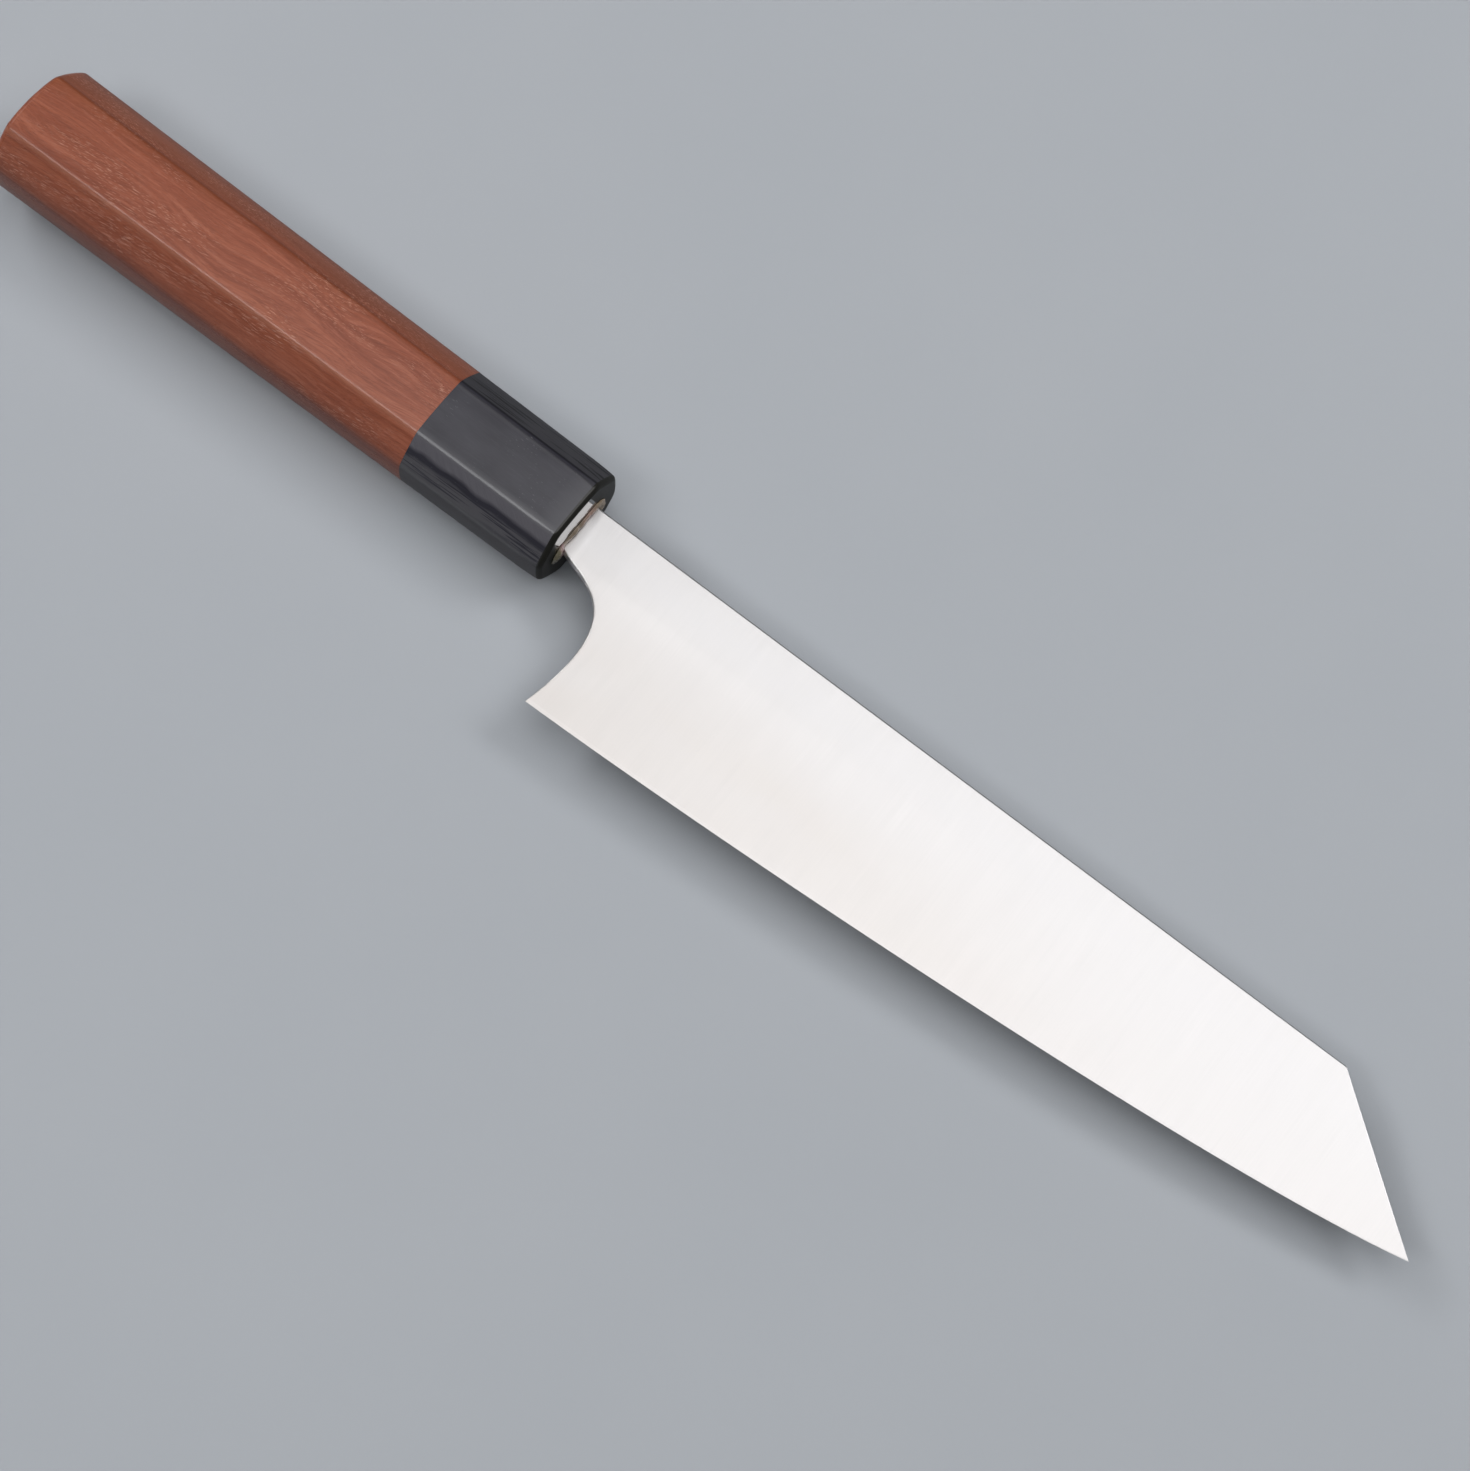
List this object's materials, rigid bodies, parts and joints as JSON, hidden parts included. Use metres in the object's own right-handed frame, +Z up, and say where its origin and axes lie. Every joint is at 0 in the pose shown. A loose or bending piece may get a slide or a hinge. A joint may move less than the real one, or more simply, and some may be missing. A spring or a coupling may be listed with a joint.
{
  "type": "petty knife",
  "caption": "Petty knife with an angled tip, a pointed heel and a tapered eight-sided wooden handle with a black wood ferrule, lying on one flat of the handle.",
  "frame": {"origin": "middle of the handle body's lower wide flat, on which the knife lies", "axes": "+X from the butt to the tip along the handle, +Y towards the spine, +Z up from the surface that the knife lies on"},
  "size_m": [0.294, 0.0401, 0.0201],
  "materials": {
    "blade_steel": "satin",
    "ferrule_wood": "black, smooth satin",
    "handle_wood": "red-brown, oiled satin",
    "dowel_wood": "pale, unfinished",
    "resin": "amber, glossy"
  },
  "bodies": {
    "root": {"blade": "blade_steel", "ferrule": "ferrule_wood", "handle_body": "handle_wood", "core_dowel": "dowel_wood", "mouth_resin": "resin"}
  },
  "joints": []
}
